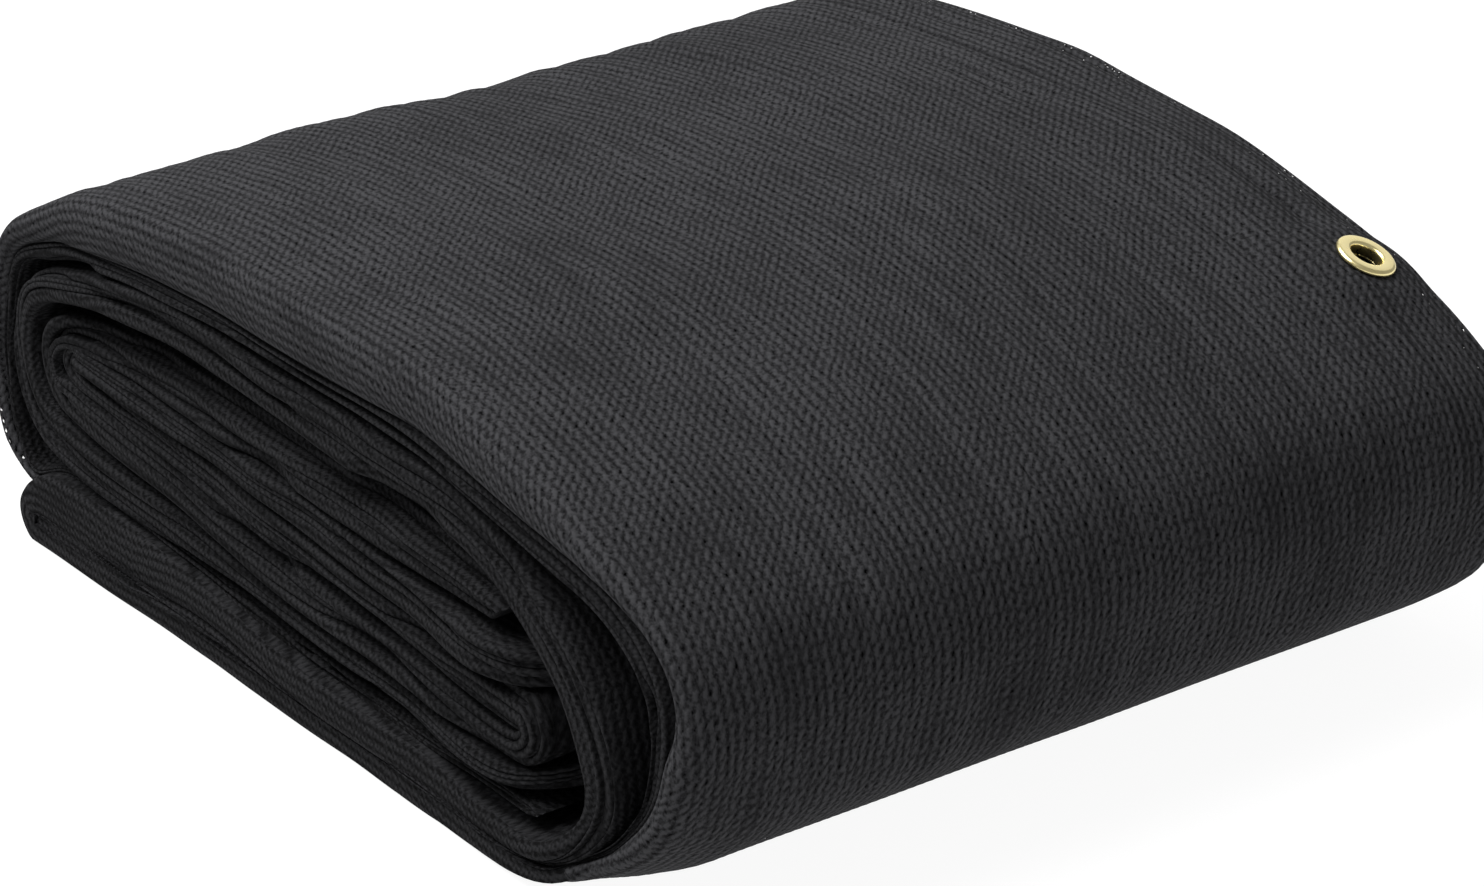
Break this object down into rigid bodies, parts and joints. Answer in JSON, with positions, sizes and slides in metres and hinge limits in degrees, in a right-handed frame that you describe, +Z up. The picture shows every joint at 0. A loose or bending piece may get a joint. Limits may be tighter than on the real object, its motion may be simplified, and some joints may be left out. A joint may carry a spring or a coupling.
{
  "type": "folded container cargo net",
  "caption": "Large knitted mesh net for covering a container's load, folded into a long strip and wound into a flat bundle, with a hemmed edge and a lashing eyelet.",
  "frame": {"origin": "centre of the bundle's outline on the surface it rests on", "axes": "+X along the wound ends, towards the eyelet's side; +Y along the roll, towards the hem; +Z up"},
  "size_m": [0.4586, 0.3924, 0.1727],
  "materials": {
    "net_cloth": "matte",
    "eyelet_brass": "polished"
  },
  "bodies": {
    "root": {"net_body": "net_cloth", "hem_strip": "net_cloth", "eyelet": "eyelet_brass"}
  },
  "joints": []
}
